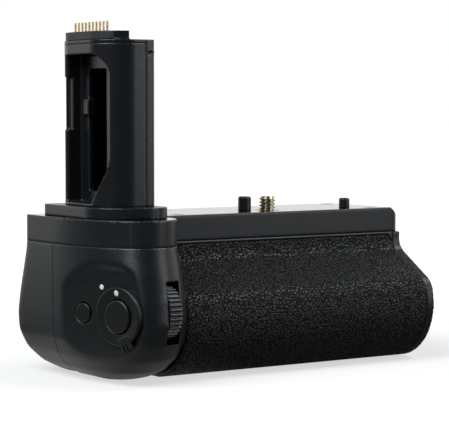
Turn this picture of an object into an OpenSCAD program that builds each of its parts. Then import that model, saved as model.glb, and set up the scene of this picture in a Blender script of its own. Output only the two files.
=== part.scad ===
// Battery grip for a camera: a horizontal hand grip with its own shutter controls, a battery tray
// and a tower that plugs into the camera's battery well. Millimetres, +X along the grip towards the
// tray end, +Y to the back, +Z up. The origin is the tripod screw's axis on the deck.

/* [Body] */
// End of the grip on the tray side, from the tripod screw
body_right = 56; // [54:0.5:60]
// End of the grip on the control side, from the tripod screw
body_left = 89.6; // [89:0.1:91]
// Where the control pod meets the long body
pod_right = 57; // [56.5:0.1:57.5]
// Front face of the deck, in front of the screw
deck_front = 11; // [10.5:0.1:12]
// Rear face of the deck, behind the screw
deck_rear = 28.2; // [28:0.1:29]
// Height of the upper case
band_h = 9.5; // [9:0.1:10]
// Height of the whole body under the deck
body_h = 58.2; // [58:0.1:59]
// Thickness of the moulded walls
wall = 2.4; // [2.2:0.1:2.6]
// Thickness of the rubber skins
skin = 1.3; // [1:0.1:1.5]

/* [Grip profile] */
// Radius of the hand bulge at the front
bulge_r = 22; // [21.5:0.1:22.5]
// Hand bulge's centre in front of the screw
bulge_y = 10.3; // [10:0.1:10.6]
// Radius of the small round at the top of the bulge
brow_r = 8; // [7:0.5:9]
// Radius of the hollow between the deck and the slope
hollow_r = 6; // [5:0.5:7]
// Slope under the deck, in degrees below level
slope = 32; // [30:1:34]
// Radius of the rounded rear
rear_r = 21; // [20.5:0.1:21.5]
// Rear round's centre behind the screw
rear_y = 15; // [14.8:0.1:15.2]

/* [Control pod] */
// How far the pod's nose stands in front of the screw at the deck
nose_top = 35.2; // [34.5:0.1:36]
// How far the nose stands in front of the screw at its fullest
nose_full = 40.5; // [40:0.1:41]
// Radius of the nose's outer corner, which the end's long curve runs into
nose_corner = 13; // [12:0.5:14]
// Radius of the end's bottom round
end_round = 17; // [16:0.5:18]
// Turn of the control face from the end plane, in degrees
face_turn = 16.3; // [15.8:0.1:16.8]
// Radius of the hollowed edge round the shutter collar
crease_r = 15.5; // [15:0.5:16]

/* [Controls] */
// Diameter of the shutter button
shutter_d = 11.7; // [11.2:0.1:12]
// Travel of the shutter button
shutter_travel = 1.2; // [0.8:0.1:1.4]
// Diameter of the lock collar
collar_d = 20.6; // [20:0.2:21.4]
// Height of the lock collar over its face
collar_h = 2.1; // [1.4:0.1:2.4]
// Diameter of the function button
fn_d = 7; // [6:0.5:8]
// Distance of the function button from the shutter button
fn_gap = 18.2; // [17.7:0.1:18.7]
// Diameter of the front dial
dial_d = 19.6; // [19:0.1:19.8]
// Width of the dials
dial_w = 5; // [4.6:0.1:5.2]
// Ribs round a dial
dial_ribs = 36; // [30:2:40]
// Diameter of the rear dial
rear_dial_d = 18; // [17:0.5:18.5]

/* [Tower] */
// Height of the tower's shell over the deck
tower_h = 61.7; // [60:0.1:63]
// Depth of the tower along the grip
tower_x = 20.8; // [20.4:0.1:21.2]
// Width of the tower across the grip
tower_y = 38.5; // [38:0.1:40]
// Radius of the tower's two rounded corners
tower_corner = 12; // [11:0.5:13]
// Height of the tower's foot flange
flange_h = 4; // [3.5:0.1:4.5]
// Number of spring contacts on the tower
contacts = 10; // [6:1:10]
// Spacing of the contacts
contact_pitch = 2.54; // [2.4:0.02:2.54]
// Travel of the spring contacts
contact_travel = 1.2; // [0.8:0.1:1.4]

/* [Deck fittings] */
// Diameter of the tripod screw's thread
screw_d = 6.35; // [6.35:0.01:6.35]
// Height of the screw over the deck
screw_h = 5.3; // [5:0.1:5.6]
// Pitch of the screw's thread
screw_pitch = 1.27; // [1.27:0.01:1.27]
// Diameter of the larger locating pin
pin_a_d = 5; // [4.8:0.1:5.2]
// Height of the larger locating pin
pin_a_h = 5.2; // [4.8:0.1:5.6]
// Diameter of the smaller locating pin
pin_b_d = 4.2; // [4:0.1:4.4]
// Height of the smaller locating pin
pin_b_h = 3.8; // [3.4:0.1:4.2]
// Teeth on each of the two screw gears
gear_teeth = 16; // [16:1:16]

/* [Battery tray] */
// Length of one battery
battery_l = 56.4; // [56:0.1:56.4]
// Width of one battery
battery_w = 40; // [39.5:0.1:40]
// Thickness of one battery
battery_t = 20.5; // [20:0.1:20.5]
// Thickness of the tray's walls
tray_wall = 1; // [0.9:0.05:1]

/* [Fits] */
// Radial clearance of a shaft in its bore
running = 0.05; // [0.03:0.01:0.08]
// Gap round a part that slides or presses
slide_gap = 0.3; // [0.25:0.05:0.4]

/* [Hidden] */
$fn = 64;
eps = 0.05;
black = "#26282a";
dark = "#1c1e1f";
rubber = "#191b1c";
brass = "#b08a4a";
gold = "#d8b24a";
steel = "#a3a6a8";
board_green = "#1f4a33";
copper_amber = "#9a6a2c";

// Grip profile, seen along X: centres and joins of its arcs
hollow_up = 24.2;
bulge_z = bulge_r - body_h;
hollow_z = bulge_z + hollow_up;
rear_z = rear_r - body_h;
bulge_c = [-bulge_y, bulge_z];
rear_c = [rear_y, rear_z];
hollow_c = [-deck_front - hollow_r, hollow_z];
slope_dir = [-cos(slope), -sin(slope)];
slope_in = [sin(slope), -cos(slope)];
slope_top = hollow_c + hollow_r * [cos(slope - 90), sin(slope - 90)];
brow_from = slope_top + brow_r * slope_in - bulge_c;
brow_b = brow_from * slope_dir;
brow_run = -brow_b + sqrt(brow_b * brow_b - brow_from * brow_from + pow(bulge_r - brow_r, 2));
brow_c = slope_top + brow_r * slope_in + brow_run * slope_dir;
brow_a = atan2(brow_c[1] - bulge_c[1], brow_c[0] - bulge_c[0]);
rear_top = [deck_rear, -band_h];
rear_far = rear_top - rear_c;
rear_a = atan2(rear_far[1], rear_far[0]) - acos(rear_r / norm(rear_far));

// Deck and the pieces under it
deck_t = wall;
deck_corner = 4;
inner_corner = 4;
end_t = 3.5;
end_x = body_right - end_t;
end_chamfer = [4.2, 3.5];
rear_corner = 3.5;
nose_top_r = 13;
nose_full_r = 17.8;
nose_top_x = -pod_right - nose_top_r;
nose_full_x = -pod_right - 15;
pin_a_at = [-7.2, 4.8];
pin_b_at = [35.2, -2.2];
pin_sunk = 4;
pin_step = 0.3;
deck_screw_x = [13 - pod_right, body_right - 11];
deck_screw_y = [5.4 - deck_front, deck_rear - 6];
deck_screw_at = [for (y = deck_screw_y, x = deck_screw_x) [x, y]];
deck_screw_r = 1.25;
deck_screw_head = 2.5;
deck_screw_depth = 16;
boss_r = 3.2;
post_at = [[16.1 - body_left, -6], [11.8 - body_left, 9.5], [17.6 - body_left, 9.5]];
pod_split = 5.6;
end_flat = pod_split - 0.6;
nose_floor = 8;
post_r = 2.6;
post_end = 13.2 - body_h;
pod_screw_r = 1.2;
pod_screw_head = 2.3;
pod_screw_seat = 3.7 - body_h;
standoff_x = [10 - pod_right, body_right - 13];
standoff_at = [for (y = [0, 15], x = standoff_x) [x, y]];
standoff_r = 2.4;
socket_at = [0, 0];
socket_r = 5;
socket_h = 4.8;
far = 150;

// Dials and rear controls
dial_r = dial_d / 2;
dial_x = -pod_right - 11.7;
dial_at = [dial_r - nose_full - 0.1, bulge_z + 4];
dial_axle_r = 1.5;
dial_gap = 0.6;
dial_rib_h = 0.8;
rear_dial_x = 6.1 - body_left;
rear_dial_z = rear_z + 9.2;
rear_dial_at = [rear_face(rear_dial_z) + 1.6 - rear_dial_d / 2, rear_dial_z];
af_at = [-pod_right - 10.5, -band_h - 9.5];
af_r = 4;
stick_z = rear_z + 2.2;
stick_at = [-pod_right - 13.9, rear_face(stick_z) - 6.1, stick_z];
stick_hole = 5.2;

// Battery tray and its chamber, between the front dial and the rear wall
chamber_t = 1.2;
chamber_z = socket_h + 0.4 - body_h;
tray_z = chamber_z + chamber_t + 0.2;
tray_floor = 1.1;
tray_end = 3;
tray_right = end_x + 0.2;
tray_in_w = battery_w + 0.3;
tray_w = tray_in_w + 2 * tray_wall;
tray_h = tray_floor + battery_t + 0.3;
tray_top = tray_z + tray_h;
tray_left = tray_right - tray_end - 2 * battery_l - 2 * tray_wall;
tray_room = [dial_at[0] + dial_r, rear_y + sqrt(pow(rear_r - wall, 2) - pow(tray_z - rear_z, 2))];
tray_y = (tray_room[0] + tray_room[1]) / 2;
chamber_x = tray_left - 2.5;
chamber_y = [tray_y - 18.5, tray_y + 20];
chamber_top = tray_top + 1.2;
blade_y = [for (k = [0:3]) tray_y - 9.5 + 5 * k];
blade_w = 2.4;
blade_z = [tray_z + 7.6, tray_z + 15.6];
door_gap = 0.3;
door_y = [tray_y - tray_w / 2 - 0.85, tray_y + tray_w / 2 + 0.85];
door_z = [tray_z - 1, tray_top + 1.1];
door_corner = 3;
latch_r = 8.7;
latch_z = (door_z[0] + door_z[1]) / 2;
latch_shaft_r = 2;
latch_sunk = 2;
board_top = tray_top + 4.4;
board_t = 1.2;

// Screw drive: the thumb wheel turns the screw through two equal gears
shank_r = screw_d / 2 + 0.225;
bush_r = shank_r + 0.85;
bush_h = 6;
gear_module = 0.92;
gear_pitch_r = gear_teeth * gear_module / 2;
gear_tip_r = gear_pitch_r + 0.85 * gear_module;
gear_root_r = gear_pitch_r - 1.2 * gear_module;
axle_y = 2 * gear_pitch_r;
axle_r = 2;
axle_boss = 5.2;
wheel_r = 16.5;
wheel_slot = 13.5;
plate_t = 1.5;
over_gear = 1.5;
under_gear = 0.8;
over_wheel = 0.7;
under_wheel = 5.3;
drive_room = -board_top - bush_h - over_gear - under_gear - plate_t - over_wheel - under_wheel;
gear_w = drive_room * 9 / 19;
wheel_w = drive_room - gear_w;
gear_z = -bush_h - over_gear - gear_w;
plate_z = gear_z - under_gear - plate_t;
wheel_z = plate_z - over_wheel - wheel_w;
plate_reach = [20.8, -4.5, axle_y + 5];
plate_post_r = 2.8;
plate_post_at = [[-17.5, 4], [17.5, 4]];
plate_screw_r = 1.1;

// Tower
tower_right = -pod_right - 3.7;
tower_left = tower_right - tower_x;
tower_front = -18.5;
tower_rear = tower_front + tower_y;
tower_seam = tower_right - 4.5;
tower_wall = 2;
tower_screw_x = tower_seam - 3.3;
tower_screw_top = 12;
tower_screw_at = [[tower_screw_x, tower_front + 5.3], [tower_screw_x, tower_rear - 5.3]];
ribbon_x = tower_seam + 1;
ribbon_w = 12;
ribbon_t = 0.4;
ribbon_slot = [2, ribbon_w / 2 + 1.5];
well_back = tower_left + 8;
well_z = flange_h + 1;
well_top = tower_h - 3.7;
cap_t = 1.3;
block_h = 3;
block_right = tower_left + 10;
block_slit = tower_front + 2.7;
contact_x = tower_left + 5.5;
contact_y = (tower_front + tower_rear) / 2 + 0.45;
contact_r = 0.45;
contact_top = tower_h + 7.9;
contact_board_z = [well_top + 0.9, well_top + 1.7];
contact_base = contact_board_z[1] + contact_travel + 0.5;

// Control face: x is up, y runs to the back along the face, z points out of it
face_at = [8.2 - body_left, 12.4 - nose_full, bulge_z + 3.1];
collar_bore = shutter_d / 2 + slide_gap;
neck_r = collar_bore + 1.15;
neck_end = -3.2;
switch_board = -8;
collar_dish = 0.5;
shutter_top = collar_h + 0.3;
lever_reach = [collar_d / 2 - 2.7, collar_d / 2 + 1.8];
lever_w = 4.8;
lever_turn = 22;
lever_slits = [-0.7, 0.9];

// Points of an arc about c from angle a0 to a1
function arc(c, r, a0, a1, n = 10) =
    [for (i = [0:n]) let (a = a0 + (a1 - a0) * i / n) c + r * [cos(a), sin(a)]];

// Angle at which the hollow comes out under the upper case, moved in by t
function hollow_from(t) = -asin(max(0, min(1, (band_h + hollow_z) / (hollow_r + t))));

// The long body's outline in Y and Z, moved in by t, with its open top raised by lift
function grip_outline(t, lift = 0) = concat(
    [[deck_rear - t / cos(rear_a), lift - band_h],
        [hollow_c[0] + (hollow_r + t) * cos(hollow_from(t)), lift - band_h]],
    arc(hollow_c, hollow_r + t, hollow_from(t), slope - 90, 6),
    arc(brow_c, brow_r - t, 90 + slope, brow_a, 6),
    arc(bulge_c, bulge_r - t, brow_a, 270, 16),
    arc(rear_c, rear_r - t, 270, 360 + rear_a, 14));

// The end's long curve forward of its flat, and the corner that it runs into at side_x, moved in by t
function nose_side(front, end, side_x, corner, t) = let (
    drop = end_flat - front - corner,
    long_r = (pow(side_x - end, 2) + drop * drop - corner * corner) / (2 * (side_x - end - corner)),
    turn = asin(drop / (long_r - corner))) concat(
    arc([end + long_r, end_flat], long_r - t, 180, 180 + turn, 8),
    arc([side_x, front + corner], corner - t, 180 + turn, 270, 8));

// The deck's outline in X and Y, moved in by t
function deck_outline(t) = concat(
    arc([body_right - deck_corner, deck_rear - deck_corner], deck_corner - t, 0, 90, 6),
    arc([rear_corner - body_left, deck_rear - rear_corner], rear_corner - t, 90, 180),
    nose_side(-nose_top, -body_left, nose_top_x, nose_corner, t),
    arc([nose_top_x, nose_top_r - nose_top], nose_top_r - t, 270, 360),
    arc([inner_corner - pod_right, -deck_front - inner_corner], inner_corner + t, 180, 90, 6),
    arc([body_right - deck_corner, deck_corner - deck_front], deck_corner - t, -90, 0, 6));

// Rear face of the body at a height z
function rear_face(z) = z > rear_z + rear_r * sin(rear_a)
    ? deck_rear + (-band_h - z) * tan(rear_a)
    : rear_y + sqrt(max(0, rear_r * rear_r - pow(z - rear_z, 2)));

// One level of the pod, moved in by t: front, end and rear places and the two front radii
function pod_level(front, end, rear, corner, side_r, side_x, t, right) = let (
    reach = asin(min(1, (right - side_x) / (side_r - t)))) concat(
    [[right, rear - t]],
    arc([end + rear_corner, rear - rear_corner], rear_corner - t, 90, 180, 6),
    side_x - end - corner > 2 ? nose_side(front, end, side_x, corner, t)
        : arc([end + corner, front + corner], corner - t, 180, 270, 16),
    arc([side_x, front + side_r], side_r - t, 270, 270 + reach, 8));

// The tower's outline in X and Y, moved in by t
tower_edge_r = 2.5;
function tower_outline(t) = concat(
    arc([tower_left + tower_corner, tower_rear - tower_corner], tower_corner - t, 90, 180),
    arc([tower_left + tower_corner, tower_front + tower_corner], tower_corner - t, 180, 270),
    arc([tower_right - tower_edge_r, tower_front + tower_edge_r], tower_edge_r - t, 270, 360, 4),
    arc([tower_right - tower_edge_r, tower_rear - tower_edge_r], tower_edge_r - t, 0, 90, 4));

// Extrudes an outline drawn in Y and Z from x0 to x1
module along_x(x0, x1) {
    translate([x0, 0, 0]) rotate([90, 0, 90]) linear_extrude(x1 - x0) children();
}

// A box between two corners
module span(a, b) {
    translate(a) cube(b - a);
}

// A rounded bar along X between two corners of Y and Z
module rounded_bar(x0, x1, y, z, r) {
    along_x(x0, x1) polygon(concat(arc([y[1] - r, z[1] - r], r, 0, 90, 5),
        arc([y[0] + r, z[1] - r], r, 90, 180, 5), arc([y[0] + r, z[0] + r], r, 180, 270, 5),
        arc([y[1] - r, z[0] + r], r, 270, 360, 5)));
}

// A rod along X
module rod_x(x0, x1, r) {
    translate([x0, 0, 0]) rotate([0, 90, 0]) cylinder(r = r, h = x1 - x0);
}

// A rod along Y
module rod_y(y0, y1, r) {
    translate([0, y0, 0]) rotate([-90, 0, 0]) cylinder(r = r, h = y1 - y0);
}

// A rod along Z at a place in X and Y
module rod_z(at, z0, z1, r) {
    translate([at[0], at[1], z0]) cylinder(r = r, h = z1 - z0);
}

// Moves to the control face
module on_face() {
    translate(face_at) rotate([0, 0, face_turn]) rotate([0, -90, 0]) children();
}

// The pod from the band down, moved in by t, up to X = right
module pod_solid(t, right, lift = 0) {
    full_z = bulge_z;
    hull() {
        for (u = [0, 0.35, 0.7, 1]) {
            z = -band_h + (full_z + band_h) * u;
            translate([0, 0, z + (u == 0 ? lift : 0)]) linear_extrude(0.01) polygon(pod_level(
                -nose_top - (nose_full - nose_top) * sin(90 * u), -body_left, rear_face(z), nose_corner,
                nose_top_r + (nose_full_r - nose_top_r) * u, nose_top_x + (nose_full_x - nose_top_x) * u,
                t, right));
        }
        for (a = [18:18:90]) {
            z = full_z - bulge_r * sin(a);
            drop = max(0, end_round - body_h - z);
            inset_z = full_z - (bulge_r - t) * sin(a);
            translate([0, 0, inset_z]) linear_extrude(0.01) polygon(pod_level(
                -nose_floor - (nose_full - nose_floor) * cos(a),
                -body_left + end_round - sqrt(end_round * end_round - drop * drop),
                rear_face(z), nose_corner * (1 - 0.4 * sin(a)), nose_full_r, nose_full_x, t, right));
        }
    }
}

// What the flat control face cuts off the pod's corner, with the hollow that leads up from it
hollow_foot = [[0, 0, crease_r], [-3, 26, 12]];
hollow_rim = [[4, 8, 20], [4, 34, 20]];
hollow_rise = 6;
module face_cut() {
    reach = 40;
    on_face() {
        translate([-reach, -reach, 0]) cube([reach, 2 * reach, reach]);
        cylinder(r = crease_r, h = reach);
        hull() {
            for (p = hollow_foot) translate([p[0], p[1], 0]) cylinder(r = p[2], h = eps);
            for (p = hollow_rim) translate([p[0], p[1], hollow_rise]) cylinder(r = p[2], h = reach);
        }
    }
}

// The pod's hollow shell with the control face cut and the way into the long body
module pod_shell() {
    difference() {
        pod_solid(0, -pod_right);
        face_cut();
        difference() {
            pod_solid(wall, -pod_right - wall, 2 * eps);
            on_face() translate([-far, -far, -wall]) cube([2 * far, 2 * far, far]);
        }
        along_x(-pod_right - wall - eps, -pod_right + eps) polygon(grip_outline(wall, 2 * eps));
    }
}

// A post from the pod's floor with a countersunk way for its screw
module pod_post(at) {
    difference() {
        intersection() {
            rod_z(at, -body_h, post_end, boss_r);
            pod_solid(0, -pod_right);
        }
        pod_post_way(at);
    }
}

// The flat cable's way through a plate between two heights
module ribbon_way(z0, z1) {
    span([ribbon_x - ribbon_slot[0], -ribbon_slot[1], z0], [ribbon_x + ribbon_slot[0], ribbon_slot[1], z1]);
}

// The screw's way up through a pod post
module pod_post_way(at) {
    rod_z(at, -body_h - 1, pod_screw_seat, pod_screw_head + slide_gap);
    rod_z(at, pod_screw_seat - eps, post_end + eps, pod_screw_r + 0.2);
}

// Top moulding: the deck plate with its side band, bosses and posts
module upper_case() {
    color(black) difference() {
        union() {
            difference() {
                translate([0, 0, -band_h]) linear_extrude(band_h) polygon(deck_outline(0));
                translate([0, 0, -band_h - eps]) linear_extrude(band_h - deck_t + eps)
                    polygon(deck_outline(wall));
            }
            rod_z([0, 0], -bush_h, -deck_t / 2, bush_r + 2);
            rod_z(pin_a_at, -pin_sunk - 1, -deck_t / 2, pin_a_d / 2 + 1.8);
            rod_z(pin_b_at, -pin_sunk - 1, -deck_t / 2, pin_b_d / 2 + 1.8);
            rod_z([0, axle_y], -axle_boss, -deck_t / 2, axle_r + 2);
            for (p = deck_screw_at) rod_z(p, -band_h, -deck_t / 2, boss_r);
            for (p = plate_post_at) rod_z(p, plate_z + plate_t, -deck_t / 2, plate_post_r);
            for (p = standoff_at) rod_z(p, board_top, -deck_t / 2, standoff_r);
            for (p = post_at) rod_z(p, post_end, -deck_t / 2, post_r);
        }
        rod_z([0, 0], -bush_h - 1, 1, bush_r);
        rod_z(pin_a_at, -pin_sunk, 1, pin_a_d / 2 - pin_step);
        rod_z(pin_b_at, -pin_sunk, 1, pin_b_d / 2 - pin_step);
        rod_z([0, axle_y], -axle_boss - 1, -deck_t - 0.8, axle_r + running);
        for (p = deck_screw_at) {
            rod_z(p, -band_h - eps, 1, deck_screw_r + 0.2);
            translate([p[0], p[1], -1.3]) cylinder(r1 = deck_screw_r, r2 = deck_screw_head, h = 1.3);
        }
        for (p = plate_post_at) rod_z(p, plate_z, -deck_t - 3.6, plate_screw_r);
        for (p = standoff_at) rod_z(p, board_top - eps, board_top + 6, plate_screw_r);
        for (p = post_at) rod_z(p, post_end - eps, post_end + 8, pod_screw_r);
        for (p = tower_screw_at) rod_z(p, -deck_t - eps, 1, pod_screw_r + 0.2);
        ribbon_way(-deck_t - eps, 1);
        rotate([90, 0, 0]) translate([0, 0, -far]) linear_extrude(2 * far) polygon([
            [body_right - end_chamfer[0], 0], [body_right - end_chamfer[0], 1], [body_right + 1, 1],
            [body_right + 1, -end_chamfer[1]], [body_right, -end_chamfer[1]]]);
    }
}

// The band of the grip profile that a rubber skin fills, between two lengths
module skin_band(x0, x1) {
    difference() {
        along_x(x0, x1) polygon(grip_outline(-1, 1));
        along_x(x0 - eps, x1 + eps) polygon(grip_outline(skin, 2));
    }
}

// Where the front rubber lies: from under the deck round the bulge to the bottom
skin_top = -band_h - 1.1;
skin_back = -9;
skin_ends = [-pod_right + 0.4, end_x];
skin_notch = [3, 4];
module grip_skin_room() {
    difference() {
        span([skin_ends[0], -far, -far], [skin_ends[1], skin_back, skin_top]);
        rotate([90, 0, 0]) linear_extrude(far) polygon([
            [skin_ends[1] - skin_notch[0], skin_top + eps], [skin_ends[1] + 1, skin_top + eps],
            [skin_ends[1] + 1, skin_top - skin_notch[1]]]);
    }
}

// Where the rear thumb rubber lies
thumb_x = [2 - pod_right, 30 - pod_right];
thumb_drop = [-rear_z - 17.2, 7.8 - rear_z];
thumb_corner = 4;
module thumb_skin_room() {
    x = thumb_x + [thumb_corner, -thumb_corner];
    drop = thumb_drop + [thumb_corner, -thumb_corner];
    rotate([-90, 0, 0]) linear_extrude(far) polygon(concat(
        arc([x[1], drop[0]], thumb_corner, 270, 360, 5), arc([x[1], drop[1]], thumb_corner, 0, 90, 5),
        arc([x[0], drop[1]], thumb_corner, 90, 180, 5), arc([x[0], drop[0]], thumb_corner, 180, 270, 5)));
}

// Long hollow moulding under the deck
module lower_case() {
    color(black) difference() {
        union() {
            difference() {
                along_x(-pod_right, end_x) polygon(grip_outline(0));
                along_x(-pod_right - 1, end_x + 1) polygon(grip_outline(wall, 1));
            }
            for (p = deck_screw_at) rod_z(p, -deck_screw_depth - 2, -band_h, boss_r);
            rod_z(socket_at, -body_h, socket_h - body_h, socket_r + 3);
        }
        intersection() {
            skin_band(-far, far);
            union() {
                grip_skin_room();
                thumb_skin_room();
            }
        }
        for (p = deck_screw_at) rod_z(p, -deck_screw_depth - 1, 0, deck_screw_r);
        rod_z(socket_at, -body_h - 1, 1 - body_h + socket_h, socket_r);
        span([-wheel_slot, deck_rear - 8, wheel_z - over_wheel],
            [wheel_slot, far, wheel_z + wheel_w + over_wheel]);
    }
}

// Front half of the control end, with the flat control face
module control_pod() {
    color(black) difference() {
        union() {
            intersection() {
                pod_shell();
                span([-far, -far, -far], [0, pod_split, -band_h]);
            }
            pod_post(post_at[0]);
            on_face() for (x = [-8.5, 8.5]) translate([x, 11.5, switch_board]) cylinder(
                r = 1.8, h = -switch_board - wall / 2);
        }
        on_face() {
            translate([0, 0, -20]) cylinder(r = neck_r + running, h = 30);
            translate([0, fn_gap, -20]) cylinder(r = fn_d / 2 + slide_gap, h = 30);
        }
        span([dial_x - dial_gap, -far, dial_at[1] - dial_r - 2 * dial_gap],
            [dial_x + dial_w + dial_gap, dial_at[0] + 0.8, dial_at[1] + dial_r + 2 * dial_gap]);
        pod_post_way(post_at[0]);
    }
}

// Rear half of the control end, with the thumb controls
module pod_rear_cover() {
    color(black) difference() {
        union() {
            intersection() {
                pod_shell();
                span([-far, pod_split, -far], [0, far, -band_h]);
            }
            pod_post(post_at[1]);
            pod_post(post_at[2]);
            intersection() {
                for (p = rear_board_posts) translate([p[0], 0, p[1]]) rod_y(rear_board_y, far, 1.6);
                pod_solid(0, -pod_right);
            }
        }
        span([rear_dial_x - dial_gap, rear_dial_at[0], rear_dial_z - rear_dial_d / 2 - dial_gap],
            [rear_dial_x + dial_w + dial_gap, far, rear_dial_z + rear_dial_d / 2 + dial_gap]);
        translate([af_at[0], 0, af_at[1]]) rod_y(af_flange[1], far, af_r + slide_gap);
        translate([stick_at[0], 0, stick_at[2]]) rod_y(stick_at[1] + 0.5, far, stick_hole);
        pod_post_way(post_at[1]);
        pod_post_way(post_at[2]);
    }
}

// Frame round the tray's mouth
module end_cap() {
    color(black) difference() {
        along_x(end_x, body_right) polygon(grip_outline(0));
        rounded_bar(end_x - 1, body_right + 1, door_y, door_z, door_corner);
    }
}

// Moulded rubber skin over the hand bulge
module grip_cover() {
    color(rubber) intersection() {
        difference() {
            along_x(-far, far) polygon(grip_outline(0));
            along_x(-far - 1, far + 1) polygon(grip_outline(skin, 2));
        }
        grip_skin_room();
    }
}

// Rubber thumb rest on the back
module thumb_pad() {
    color(rubber) intersection() {
        difference() {
            along_x(-far, far) polygon(grip_outline(0));
            along_x(-far - 1, far + 1) polygon(grip_outline(skin, 2));
        }
        thumb_skin_room();
    }
}

// Stepped foot under the tower
flange_x = [tower_left - 3.8, tower_right + 2.5];
flange_y = [tower_front - 8.5, tower_rear + 2];
module tower_flange() {
    color(black) difference() {
        linear_extrude(flange_h) polygon(concat(
            arc([flange_x[1] - 3, flange_y[1] - 3], 3, 0, 90, 5),
            arc([flange_x[0] + 3, flange_y[1] - 3], 3, 90, 180, 5),
            arc([flange_x[0] + 18, flange_y[0] + 18], 18, 180, 270),
            arc([flange_x[1] - 8, flange_y[0] + 8], 8, 270, 360, 8)));
        for (p = tower_screw_at) rod_z(p, -1, flange_h + 1, pod_screw_r + 0.2);
        ribbon_way(-1, flange_h + 1);
    }
}

// A slice of the tower's outline moved in by t, between two lengths and two heights
module tower_part(t, x, z) {
    intersection() {
        translate([0, 0, z[0]]) linear_extrude(z[1] - z[0]) polygon(tower_outline(t));
        span([x[0], -far, z[0] - 1], [x[1], far, z[1] + 1]);
    }
}

// The mouth of the tower's open side, seen along X
mouth_y = [tower_front + 3.7, tower_rear - 7];
mouth_foot = mouth_y[0] + 7.3;
mouth_turn_z = well_z + 17.6;
notch_z = [well_top - 27, well_top - 8];
notch_x = tower_left + 4.5;
notch_d = 3;
jamb_r = 1.2;
slot_y = [-5, 7.5];
slot_z = [well_z + 4, well_top - 5.2];
tab_y = [slot_y[1] - 1.5, slot_y[1] + 3];
tab_z = [well_top - 21.7, well_top - 15.8];
module tower_mouth() {
    corner = 8;
    polygon(concat([[mouth_y[1], well_z], [mouth_y[1], well_top]],
        arc([mouth_y[0] + corner, well_top - corner], corner, 90, 180, 8),
        [for (i = [0:8]) [mouth_y[0] + (mouth_foot - mouth_y[0]) * (1 - cos(90 * i / 8)),
            mouth_turn_z + (well_z - mouth_turn_z) * i / 8]]));
}

// What the rounded edge of the mouth's rear jamb leaves off, in X and Y
function jamb_edge() = let (
    hub = [tower_left + tower_corner, tower_rear - tower_corner],
    rise = mouth_y[1] + jamb_r - hub[1],
    c = [hub[0] - sqrt(pow(tower_corner - jamb_r, 2) - rise * rise), mouth_y[1] + jamb_r],
    out = atan2(c[1] - hub[1], c[0] - hub[0])) concat(
    arc(c, jamb_r, out, 270, 6),
    [[c[0], mouth_y[1] - 1], [tower_left - 1, mouth_y[1] - 1], [tower_left - 1, c[1] + jamb_r * sin(out)]]);

// Battery shaped tower, open on its control side
module tower_shell() {
    color(black) difference() {
        union() {
            difference() {
                tower_part(0, [-far, tower_seam], [flange_h, tower_h]);
                intersection() {
                    tower_part(tower_wall, [-far, well_back], [well_z, well_top]);
                    span([-far, -far, 0], [0, mouth_y[1], far]);
                }
                translate([0, 0, well_z]) linear_extrude(well_top - well_z) polygon(jamb_edge());
                tower_part(tower_wall, [well_back + tower_wall, tower_seam + 1], [well_z, well_top]);
                tower_part(tower_wall + 0.5, [-far, tower_seam - tower_wall], [well_top + 0.8, tower_h + 1]);
                along_x(tower_left - 5, well_back) tower_mouth();
                span([tower_left - 1, mouth_y[1] - eps, notch_z[0]],
                    [notch_x, mouth_y[1] + notch_d, notch_z[1]]);
                span([well_back - eps, slot_y[0], slot_z[0]],
                    [well_back + tower_wall + eps, slot_y[1], slot_z[1]]);
            }
            for (p = tower_screw_at) rod_z(p, flange_h, tower_screw_top + 3, post_r);
            span([well_back - 1.2, tab_y[0], tab_z[0]], [well_back + tower_wall, tab_y[1], tab_z[1]]);
        }
        for (p = tower_screw_at) rod_z(p, 0, tower_screw_top + 1, pod_screw_r);
    }
}

// Cover over the tower's cable duct
module tower_back_cover() {
    color(black) difference() {
        tower_part(0, [tower_seam, 0], [flange_h, tower_h + cap_t]);
        tower_part(tower_wall, [tower_seam - 1, 0], [well_z, well_top]);
        span([tower_right - 3.6, tower_front - 1, well_top - 0.3],
            [tower_right + 1, tower_front + 1, well_top + 0.6]);
        ribbon_way(0, well_z + 1);
    }
}

// Lid on the tower with the raised end beside the contact block
module tower_cap() {
    color(black) difference() {
        union() {
            tower_part(0, [-far, tower_seam], [tower_h, tower_h + cap_t]);
            intersection() {
                tower_part(0.4, [-far, block_right], [tower_h + cap_t - eps, tower_h + cap_t + block_h]);
                span([-far, -far, 0], [0, block_slit, far]);
            }
        }
        contact_holes();
    }
}

// The ways of the contacts through the lid and block
module contact_holes() {
    for (i = [0:contacts - 1]) rod_z([contact_x, contact_y + (i - (contacts - 1) / 2) * contact_pitch],
        0, far, contact_r + running);
}

// Insulating block that guides the contacts
module contact_block() {
    color(dark) difference() {
        intersection() {
            tower_part(0.4, [-far, block_right], [tower_h + cap_t, tower_h + cap_t + block_h]);
            span([-far, block_slit + 0.15, 0], [0, far, far]);
        }
        contact_holes();
    }
}

// Gold plated spring contacts that meet the camera
module contact_pins() {
    color(gold) for (i = [0:contacts - 1]) translate(
        [contact_x, contact_y + (i - (contacts - 1) / 2) * contact_pitch, contact_base]) {
        cylinder(r = contact_r, h = contact_top - contact_base - 0.25);
        translate([0, 0, contact_top - contact_base - 0.25]) cylinder(r1 = contact_r, r2 = 0.2, h = 0.25);
    }
}

// Small board under the contacts
module contact_board() {
    color(board_green) tower_part(tower_wall + 0.8, [-far, tower_seam - tower_wall - 0.3],
        contact_board_z);
}

// Flat cable from the tower down to the main board
module tower_ribbon() {
    low = board_top + ribbon_t;
    color(copper_amber) {
        span([ribbon_x - ribbon_t / 2, -ribbon_w / 2, board_top],
            [ribbon_x + ribbon_t / 2, ribbon_w / 2, well_top - 1]);
        span([ribbon_x, -ribbon_w / 2, board_top], [standoff_x[0] + 5, ribbon_w / 2 - 10, low]);
    }
}

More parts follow.
